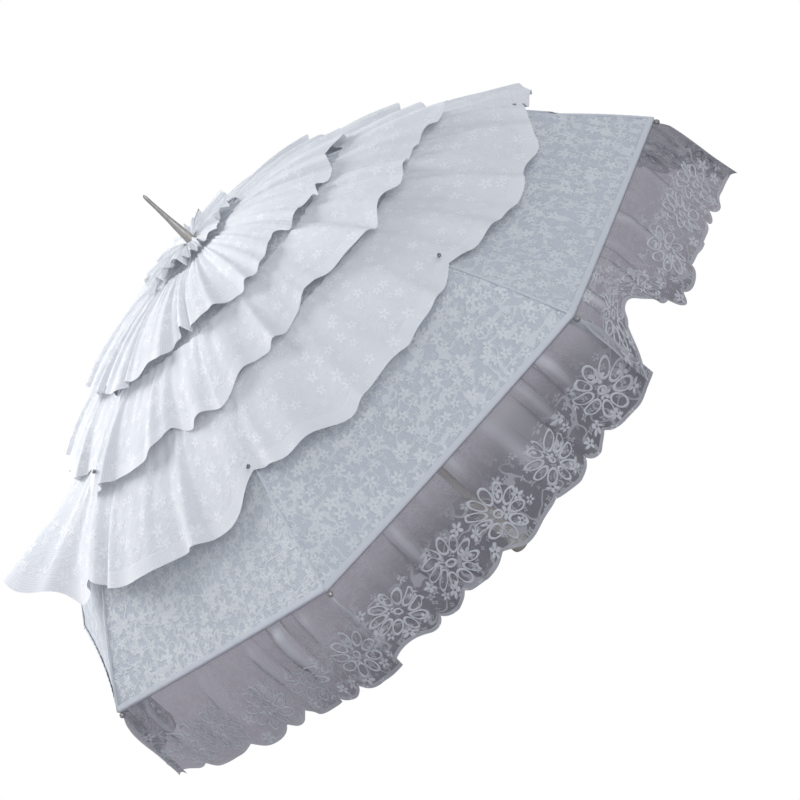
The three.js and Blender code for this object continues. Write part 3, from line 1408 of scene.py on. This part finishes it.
@dataclass
class Frill:
    """The deep sheer frill that hangs from the rim.

    Attributes:
        depth: How far it hangs.
        pleats: Pleats for each gore.
        swing: How far the pleats stand out at the hem.
        lap: How far a pleat folds over itself.
        overlap: How far each end passes its rib.
        scallops: Scallops for each gore.
        scallop_depth: Depth of a scallop.
        fullness: How much wider the flat net is than the rim.
        turning: Length of the net that is sewn under the tape.
        cells: Cells across and down.
        made: The pieces built so far.
    """

    depth: float = 0.098
    pleats: int = 8
    swing: float = 0.0085
    lap: float = 0.0052
    overlap: float = 0.006
    scallops: int = 7
    scallop_depth: float = 0.009
    fullness: float = 1.12
    turning: float = 0.008
    cells: tuple[int, int] = (224, 24)
    made: list[bpy.types.Object] = field(default_factory=list)

    def build(self) -> list[bpy.types.Object]:
        """Build the frill and its flowers over every gore."""
        for gore in GORES:
            flowers = self.flowers(gore)
            self.cloth(gore, flowers)
        return self.made

    def cut(self, gore: Gore, share: float) -> float:
        """Give the frill's depth at a share across."""
        theta = gore.theta(2 * share - 1)
        taken = 0.0
        fade = smooth(min(share, 1 - share) * 12)
        for at, half, amount in NOTCHES:
            off = abs(math.remainder(theta - math.radians(at), math.tau))
            taken = max(taken, amount * smooth(1 - off / math.radians(half)))
        beat = self.scallops * (share + 0.1 * fade * wander(share * 5, 0, gore.number))
        scallop = abs(math.sin(math.pi * beat)) ** 0.8
        uneven = 0.006 * wander(share * 4, 3.1, gore.number + 5)
        drop = self.depth + self.scallop_depth * (scallop - 0.6) * fade
        drop += 1.6 * uneven * fade
        return drop * (1 - taken)

    def pleat(self, gore: Gore, share: float, down: float) -> tuple[float, float]:
        """Give a pleat's phase and its size at a share across and down."""
        inside = smooth(min(share, 1 - share) * 6)
        warp = 0.045 * wander(share * 5, 1.7 + 0.5 * down, gore.number) * inside
        size = 0.55 + 0.9 * wander(share * 9, down * 1.2, gore.number + 20)
        return math.tau * self.pleats * (share + warp), clamp(size, 0.15, 1.4)

    def fold_and_highlight(self, gore: Gore, share: float, down: float) -> float:
        """Give how much the net lies in folds, from 0 to 1: a sharp line on each pleat's crest
        and broad patches, which the lace paints lighter, partly as doubled net and partly as a
        painted highlight.
        """
        phase, size = self.pleat(gore, share, down)
        ridge = (0.5 + 0.5 * math.cos(phase)) ** 14
        fan = smooth((wander(share * 4.3, down * 0.3, gore.number + 60) - 0.2) / 0.25)
        fade = 1 - 0.55 * smooth((down - 0.55) / 0.3)
        return clamp((ridge * clamp(size - 0.1) + 0.5 * fan) * fade)

    def surface(
        self, gore: Gore, share: float, down: float, lift: float = 0.0
    ) -> Vector:
        """Give a point of the frill.

        Args:
            gore: The gore that it hangs from.
            share: Share across the gore.
            down: Share of its depth.
            lift: Distance outwards from the cloth.

        Returns:
            The point.
        """
        s = clamp(share)
        phase, size = self.pleat(gore, s, down)
        ends = smooth(min(s, 1 - s) * self.pleats * 0.8)
        calm = mix(1.0, 0.3, smooth((down - 0.3) / 0.45))
        ridge = (0.5 + 0.5 * math.cos(phase)) ** 2
        out = self.swing * (0.35 + 0.65 * down) * size * calm * (2 * ridge - 0.75)
        out += 0.004 + 0.02 * down * (0.5 + wander(s * 3, 0.4, gore.number + 30))
        lap = self.lap * size * calm * math.sin(2 * phase) * ends
        q = 2 * s - 1
        lap += self.overlap * smooth(down * 3) * abs(q) ** 7 * math.copysign(1, q)
        rim = gore.point(DOME.rim - 0.0015, q, -0.002)
        point = rim + around(gore.theta(q)) * (out * smooth(down * 5 + 0.1) + lift)
        point += tangent_at(gore.angle) * lap
        point.z -= self.cut(gore, s) * down
        return point

    def cloth(self, gore: Gore, flowers: bpy.types.Object) -> None:
        """Build the pleated net over one gore.

        Args:
            gore: The gore that it hangs from.
            flowers: The piece that holds its flowers; not used.
        """
        width = gore.width(DOME.rim) * self.fullness

        def place(across: float, along: float) -> Vector:
            """Hang a point from the rim."""
            return self.surface(gore, across, along)

        def hem(across: float, along: float) -> float:
            """Give the distance to the hem."""
            return self.cut(gore, across) * (1 - along)

        def fold(across: float, along: float) -> float:
            """Give how much the net lies in folds, which the lace paints lighter, partly as a
            painted highlight.
            """
            return self.fold_and_highlight(gore, across, along)

        name = f"frill_net_{gore.number}"
        flat = (width, self.depth + self.turning)
        piece = sheet_piece(name, place, self.cells, flat, hem, fold)
        # The frill takes the darker copy of the sheer lace, painted shade.
        SHADED_FRILL_LACE.put_on(piece)
        node = f"frill_{gore.number}"
        gore.fold_away(piece, node)
        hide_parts(node)
        self.made.append(piece)

    def flowers(self, gore: Gore) -> bpy.types.Object:
        """Build the corded flowers that lie on one stretch of the frill."""
        draw = random.Random(40 + gore.number)
        mesh = bmesh.new()
        cloth = mesh.loops.layers.uv.new("cloth")
        width = gore.width(DOME.rim)
        spots = (0.1, 0.29, 0.49, 0.7, 0.9)
        for share in spots:
            daisy = Daisy(
                (share + draw.uniform(-0.03, 0.03), draw.uniform(0.62, 0.7)),
                draw.uniform(0.023, 0.028),
                draw.choice((9, 10, 11)),
                draw.uniform(0, math.tau),
            )
            for centre, half, turn in daisy.rings():
                self.ring(mesh, gore, daisy.at, width, (centre, half, turn))
        for face in mesh.faces:
            for loop in face.loops:
                at = loop.vert.co
                loop[cloth].uv = (at.x + at.y, at.z)
        face_away(mesh, UP * (CROWN - 0.3))
        piece = finished(mesh, f"frill_flowers_{gore.number}")
        DAISY_THREAD.put_on(piece)
        gore.fold_away(piece, f"frill_{gore.number}")
        self.made.append(piece)
        return piece

    def ring(
        self,
        mesh: bmesh.types.BMesh,
        gore: Gore,
        at: tuple[float, float],
        width: float,
        shape: tuple[Vector, tuple[float, float], float],
    ) -> None:
        """Lay one oval of cord on the frill.

        Args:
            mesh: The mesh that it joins.
            gore: The gore that the frill hangs from.
            at: The flower's middle, as shares of the frill.
            width: The frill's width.
            shape: The oval's centre, half sizes and turn, in the flower's own plane.
        """
        centre, half, turn = shape
        cord, rise = 0.0022, 0.0012
        place = (
            Matrix.Translation(centre)
            @ Matrix.Rotation(turn, 4, "Z")
            @ Matrix.Diagonal((half[0], half[1], 1.0, 1.0))
        )
        made = bmesh.ops.create_circle(
            mesh, cap_ends=False, segments=16, radius=1.0, matrix=place
        )
        verts = made["verts"]
        every = list(verts)
        edges = list({edge for vert in verts for edge in vert.link_edges})
        mean = (half[0] + half[1]) / 2
        for height in (rise, -rise):
            new = bmesh.ops.extrude_edge_only(mesh, edges=edges)["geom"]
            verts = [g for g in new if isinstance(g, bmesh.types.BMVert)]
            edges = [
                g
                for g in new
                if isinstance(g, bmesh.types.BMEdge)
                and g.verts[0] in verts
                and g.verts[1] in verts
            ]
            factor = 1 - 0.5 * cord / mean
            bmesh.ops.scale(
                mesh,
                vec=(factor, factor, 1.0),
                space=Matrix.Translation(-centre),
                verts=verts,
            )
            bmesh.ops.translate(mesh, vec=(0, 0, height), verts=verts)
            every += verts
        for vert in every:
            share = at[0] + vert.co.x / width
            down = at[1] - vert.co.y / self.depth
            vert.co = self.surface(gore, share, min(1.0, down), 0.0007 + vert.co.z)


# ---- Ribs ----


@dataclass
class Ribs:
    """The sprung ribs with their piping, rivets and tacking stitches.

    Attributes:
        radius: Radius of a rib.
        depth: Its middle below the cloth.
        end: Seam radius at its end.
        hinge: Radius and height of its hinge.
        fold: Seam radius of its rivet.
        rivet_depth: The rivet's middle below the cloth.
        bend_half: Half the length over which a rib bends.
        made: The pieces built so far.
    """

    radius: float = 0.0013
    depth: float = 0.0034
    end: float = 0.415
    hinge: tuple[float, float] = (0.009, CROWN - HINGE_DROP)
    fold: float = FOLD_RADIUS
    rivet_depth: float = 0.0052
    bend_half: float = 0.03
    made: list[bpy.types.Object] = field(default_factory=list)

    def build(self) -> list[bpy.types.Object]:
        """Build what belongs to each rib."""
        for number in range(1, RIB_COUNT + 1):
            self.rod(number)
            self.piping(number)
            self.rivet(number)
            self.stitches(number)
            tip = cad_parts[f"rib_tip_{number}"]
            tip.data.materials.clear()
            tip.data.materials.append(DARK_PEWTER.material())
        return self.made

    def bend(self, piece: bpy.types.Object, number: int) -> None:
        """Bake a piece's placing into its mesh and keep it with the rib's pieces."""
        theta = rib_angle(number)
        DOME.seam(theta, self.fold - self.bend_half, self.depth)
        DOME.seam(theta, self.fold + self.bend_half, self.depth)
        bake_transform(piece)
        self.made.append(piece)

    def rod(self, number: int) -> None:
        """Build the rib's round rod."""
        theta = rib_angle(number)
        start = around(theta) * (self.hinge[0] - 0.001) + UP * self.hinge[1]

        def centre(along: float) -> Vector:
            """Follow the dome under the cloth."""
            radius = mix(0.009, self.end, along)
            under = DOME.seam(theta, radius, self.depth)
            return start.lerp(under, smooth(along / 0.06))

        piece = tube_piece(
            f"rib_rod_{number}",
            centre,
            lambda along: self.radius,
            lambda along: tangent_at(theta),
            (12, 96),
            DOME.arc(0.01, self.end),
        )
        STEEL.put_on(piece)
        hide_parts(f"rib_{number}")
        self.bend(piece, number)

    def piping(self, number: int) -> None:
        """Build the sewn seam that runs over the rib."""
        theta = rib_angle(number)

        def centre(along: float) -> Vector:
            """Follow the seam on the cloth."""
            radius = mix(0.012, DOME.rim, along)
            return DOME.seam(theta, radius, -0.0002)

        piece = tube_piece(
            f"seam_piping_{number}",
            centre,
            lambda along: 0.0013 + 0.00012 * math.sin(along * 900),
            lambda along: tangent_at(theta),
            (8, 220),
            DOME.arc(0.012, DOME.rim),
        )
        HEM_TAPE.put_on(piece)
        self.bend(piece, number)

    def rivet(self, number: int) -> None:
        """Build the rivet that joins the stretcher to the rib."""
        theta = rib_angle(number)
        at = DOME.seam(theta, self.fold, self.rivet_depth)
        outline = [
            (0.0, -0.0047),
            (0.0012, -0.0046),
            (0.0016, -0.0041),
            (0.0016, -0.0036),
            (0.00075, -0.0034),
            (0.00075, 0.0016),
            (0.0015, 0.0018),
            (0.0015, 0.0022),
            (0.0011, 0.0027),
            (0.0, 0.0028),
        ]
        side = tangent_at(theta)
        axes = Matrix((UP, around(theta), side)).transposed()
        place = Matrix.Translation(at) @ axes.to_4x4()
        piece = spun_piece(f"rivet_{number}", outline, 16, place)
        STEEL.put_on(piece)
        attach(piece, f"rib_{number}")
        self.made.append(piece)

    def stitches(self, number: int) -> None:
        """Build the tacks that hold the ruffles to the rib."""
        theta = rib_angle(number)
        for label, share in (("outer", 0.772), ("middle", 0.588)):
            if number % 2 and label == "middle":
                continue
            spot = DOME.seam(theta, share * DOME.rim, -0.0115)
            out = DOME.outward(theta, share * DOME.rim)
            side = tangent_at(theta)

            def centre(along: float) -> Vector:
                """Wind a small knot of thread."""
                angle = along * math.tau * 2
                lean = side * (0.0015 * math.cos(angle))
                rise = out.cross(side) * (0.0015 * math.sin(angle + 0.6 * along))
                return spot + lean + rise + out * (0.0009 * math.sin(angle * 1.5))

            piece = tube_piece(
                f"tack_{label}_{number}",
                centre,
                lambda along: 0.0006,
                lambda along: out,
                (6, 40),
                0.03,
            )
            STITCH_THREAD.put_on(piece)
            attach(piece, f"rib_tip_{number}")
            self.made.append(piece)


# ---- Shaft, runner and fittings ----


@dataclass
class Fittings:
    """The shaft, its handle and ferrule, the runner, the wires and the strap.

    Attributes:
        handle: Length of the handle, in millimetres.
        foot: Where the shaft ends in it, in millimetres.
        pivot_drop: The stretchers' pivots below the crown.
        made: The pieces built so far.
    """

    handle: float = 76.0
    foot: float = 52.0
    pivot_drop: float = 0.10914
    made: list[bpy.types.Object] = field(default_factory=list)

    def build(self) -> list[bpy.types.Object]:
        """Build the turned pieces, and dress the nodes that stay."""
        self.turnings()
        self.wires()
        self.strap()
        self.dress_nodes()
        return self.made

    def turned(
        self,
        name: str,
        node: str,
        outline: Sequence[tuple[float, float]],
        finish: Finish,
    ) -> None:
        """Build a turned piece that stands for a node of the shaft.

        Args:
            name: The piece's name.
            node: The node that it stands for.
            outline: Its radii and heights, in millimetres.
            finish: Its material.
        """
        metres = [(r / MILLIMETRE, z / MILLIMETRE) for r, z in outline]
        piece = spun_piece(name, metres, TURN_STEPS)
        finish.put_on(piece)
        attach(piece, "shaft")
        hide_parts(node)
        self.made.append(piece)

    def turnings(self) -> None:
        """Build the handle, its collar and the ferrule."""
        bore, top = 4.8, self.handle
        grip = rounded(
            [
                (7.5, 0),
                (9.6, 1.6),
                (10.6, 5.5),
                (10.4, 10),
                (8.6, 14.5),
                (6.8, 18),
                (6.6, 20.5),
                (7.8, 24),
                (8.8, 34),
                (8.9, 46),
                (8.2, 58),
                (7.2, 66),
                (7.9, 68),
                (7.9, 70.5),
                (7, 73),
                (7, top),
            ],
            5,
        )
        inside = [(bore, top), (bore, self.foot), (0, self.foot)]
        self.turned("turned_handle", "handle", [(0, 0), *grip, *inside], IVORY)
        low = top + 0.3
        collar = rounded(
            [
                (6.2, low),
                (8, low + 0.7),
                (8.4, low + 2),
                (8, low + 4),
                (6.6, low + 6.7),
                (6.2, low + 8),
            ],
            4,
        )
        ring = [(bore, low), *collar, (bore, low + 8), (bore, low)]
        self.turned("turned_collar", "handle_collar", ring, PEWTER)
        base = CROWN * MILLIMETRE + 1
        spike = rounded(
            [
                (8.0, base + 1.6),
                (6.2, base + 3.4),
                (5.2, base + 6),
                (4.4, base + 17),
                (3.7, base + 26),
                (2.8, base + 38),
                (2.1, base + 56),
                (1.9, base + 66),
                (1.1, base + 70),
            ],
            4,
        )
        outline = [(bore, base), (8.0, base), *spike, (0, base + 70)]
        self.turned("turned_ferrule", "ferrule", outline, PEWTER)

    def wires(self) -> None:
        """Build the binding wires of the notch and the runner."""
        for name, body, radius, height in (
            ("notch_wire", "shaft", 0.0093, CROWN - HINGE_DROP),
            ("runner_wire", "runner", 0.0105, CROWN - self.pivot_drop),
        ):

            def centre(along: float, r: float = radius, z: float = height) -> Vector:
                """Follow the ring."""
                return around(along * math.tau) * r + UP * z

            piece = tube_piece(
                name,
                centre,
                lambda along: 0.00045,
                lambda along: UP,
                (8, 96),
                math.tau * radius,
                closed=True,
            )
            STEEL.put_on(piece)
            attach(piece, body)
            self.made.append(piece)

    def strap(self) -> None:
        """Build the closing strap and its button at rib 8."""
        number = RIB_COUNT
        theta = rib_angle(number)
        side = tangent_at(theta)
        start = DOME.seam(theta, 0.408, 0.006)
        width, length = 0.011, 0.062

        def place(across: float, along: float) -> Vector:
            """Hang the strap with a slight curl."""
            sway = around(theta) * (0.012 * math.sin(along * 2.4))
            down = UP * (-length * along)
            twist = side * ((across - 0.5) * width) + side * (0.012 * along)
            return start + sway + down + twist

        piece = sheet_piece("closing_strap", place, (6, 24), (width, length))
        thick = piece.modifiers.new("thickness", "SOLIDIFY")
        thick.thickness = 0.0008
        STRAP_TAPE.put_on(piece)
        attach(piece, f"rib_tip_{number}")
        self.made.append(piece)
        outline = rounded(
            [
                (0, -0.0012),
                (0.004, -0.0012),
                (0.0048, 0),
                (0.004, 0.0012),
                (0.0016, 0.0008),
                (0, 0.0008),
            ],
            3,
        )
        at = place(0.5, 0.86) + around(theta) * 0.0022
        axes = Matrix((side, UP, around(theta))).transposed().to_4x4()
        button = spun_piece("strap_button", outline, 24, Matrix.Translation(at) @ axes)
        RESIN.put_on(button)
        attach(button, f"rib_tip_{number}")
        self.made.append(button)

    def dress_nodes(self) -> None:
        """Give the nodes that stay their finishes."""
        dressed = {
            "shaft_tube": IVORY,
            "top_notch": PEWTER,
            "runner": RESIN,
            "top_catch": STEEL,
            "bottom_catch": STEEL,
        }
        for number in range(1, RIB_COUNT + 1):
            dressed[f"stretcher_{number}"] = STEEL
        for node, finish in dressed.items():
            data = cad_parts[node].data
            data.materials.clear()
            data.materials.append(finish.material())


# ---- Studio ----


@dataclass(frozen=True)
class Lamp:
    """One soft light.

    Attributes:
        name: Its name.
        direction: From the parasol to the light.
        distance: How far off it stands.
        size: Its width.
        power: Its power, in watts.
        colour: Its colour.
    """

    name: str
    direction: Colour
    distance: float
    size: float
    power: float
    colour: Colour = (1.0, 1.0, 1.0)

    def build(self, aim: Vector) -> None:
        """Put the light up, turned to a point."""
        data = bpy.data.lights.new(self.name, "AREA")
        data.size, data.energy, data.color = self.size, self.power, self.colour
        lamp = bpy.data.objects.new(self.name, data)
        away = Vector(self.direction).normalized()
        lamp.location = aim + away * self.distance
        lamp.rotation_mode = "QUATERNION"
        lamp.rotation_quaternion = away.to_track_quat("Z", "Y")
        bpy.context.scene.collection.objects.link(lamp)


@dataclass
class Studio:
    """The camera, the lights, the pale floor and the surroundings.

    Attributes:
        place: Where the camera stands.
        azimuth: Its turn round the shaft, in degrees.
        elevation: Its height above the level, in degrees.
        roll: Its roll, in degrees.
        lens: Its focal length for a 36 mm sensor.
        aim: The middle of the canopy.
    """

    place: Vector = field(
        default_factory=lambda: Vector((0.73067, -2.01115, CROWN + 0.34338))
    )
    azimuth: float = 19.29
    elevation: float = 16.02
    roll: float = -47.09
    lens: float = 95.53
    aim: Vector = field(default_factory=lambda: UP * (CROWN - 0.17))

    def camera(self) -> None:
        """Put the camera up."""
        data = bpy.data.cameras.new("camera")
        data.lens, data.sensor_width = self.lens, 36.0
        data.clip_start, data.clip_end = 0.05, 200.0
        camera = bpy.data.objects.new("camera", data)
        bpy.context.scene.collection.objects.link(camera)
        a, e = math.radians(self.azimuth), math.radians(self.elevation)
        back = Vector(
            (math.sin(a) * math.cos(e), -math.cos(a) * math.cos(e), math.sin(e))
        )
        right = Vector((math.cos(a), math.sin(a), 0.0))
        up = back.cross(right)
        roll = math.radians(self.roll)
        tilted = right * math.cos(roll) + up * math.sin(roll)
        axes = Matrix((tilted, back.cross(tilted), back)).transposed()
        camera.matrix_world = Matrix.Translation(self.place) @ axes.to_4x4()
        bpy.context.scene.camera = camera

    def lights(self) -> None:
        """Put the lights up and set the surroundings."""
        for lamp in (
            Lamp("key", (-0.75, 0.5, 0.85), 2.6, 1.6, 68.0),
            Lamp("fill", (0.9, -0.85, 0.5), 3.2, 2.2, 36.0, (0.96, 0.98, 1.0)),
            Lamp("low", (-0.6, -1.0, -0.05), 3.2, 2.2, 8.0, (0.96, 0.98, 1.0)),
        ):
            lamp.build(self.aim)
        world = bpy.data.worlds.new("studio")
        world.use_nodes = True
        bpy.context.scene.world = world
        back = world.node_tree.nodes["Background"]
        back.inputs["Color"].default_value = (0.85, 0.9, 1.0, 1.0)
        back.inputs["Strength"].default_value = 0.42
        bpy.context.scene.view_settings.view_transform = "Standard"

    def floor(self) -> None:
        """Lay the pale floor: camera rays see it glow evenly white, while rays through the lace
        see a dark mauve-grey diffuse colour, painted shade for the parasol's shadowed inside.
        """
        mesh = bmesh.new()
        bmesh.ops.create_grid(mesh, x_segments=2, y_segments=2, size=60.0)
        floor = finished(mesh, "floor")
        material = bpy.data.materials.new("Pale floor")
        material.use_nodes = True
        material.node_tree.nodes.clear()
        graph = Graph(material.node_tree)
        # Painted shade: the dark diffuse colour that shows through the sheer lace.
        painted_shade_matt = graph.add("ShaderNodeBsdfDiffuse")
        painted_shade_matt.inputs["Color"].default_value = (0.3, 0.28, 0.31, 1.0)
        glow = graph.add("ShaderNodeEmission")
        glow.inputs["Strength"].default_value = 1.0
        clear = graph.add("ShaderNodeBsdfTransparent")
        path = graph.add("ShaderNodeLightPath")
        seen = graph.add("ShaderNodeMixShader")
        unveiled = graph.math("LESS_THAN", path.outputs["Transparent Depth"], 0.5)
        graph.join(
            graph.math("MULTIPLY", path.outputs["Is Camera Ray"], unveiled),
            seen.inputs[0],
        )
        graph.join(painted_shade_matt.outputs[0], seen.inputs[1])
        graph.join(glow.outputs[0], seen.inputs[2])
        under = graph.add("ShaderNodeMixShader")
        graph.join(
            graph.add("ShaderNodeNewGeometry").outputs["Backfacing"], under.inputs[0]
        )
        graph.join(seen.outputs[0], under.inputs[1])
        graph.join(clear.outputs[0], under.inputs[2])
        out = graph.add("ShaderNodeOutputMaterial")
        graph.join(under.outputs[0], out.inputs["Surface"])
        floor.data.materials.append(material)


def main() -> None:
    """Build the studio and every part of the parasol."""
    logging.basicConfig(level=logging.INFO, format="%(name)s: %(message)s")
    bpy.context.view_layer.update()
    studio = Studio()
    studio.camera()
    studio.lights()
    studio.floor()
    for part in (Canopy(), Ruffles(), Frill(), Ribs(), Fittings()):
        for piece in part.build():
            log.info("%s: %d faces", piece.name, len(piece.data.polygons))


if __name__ == "__main__":
    main()
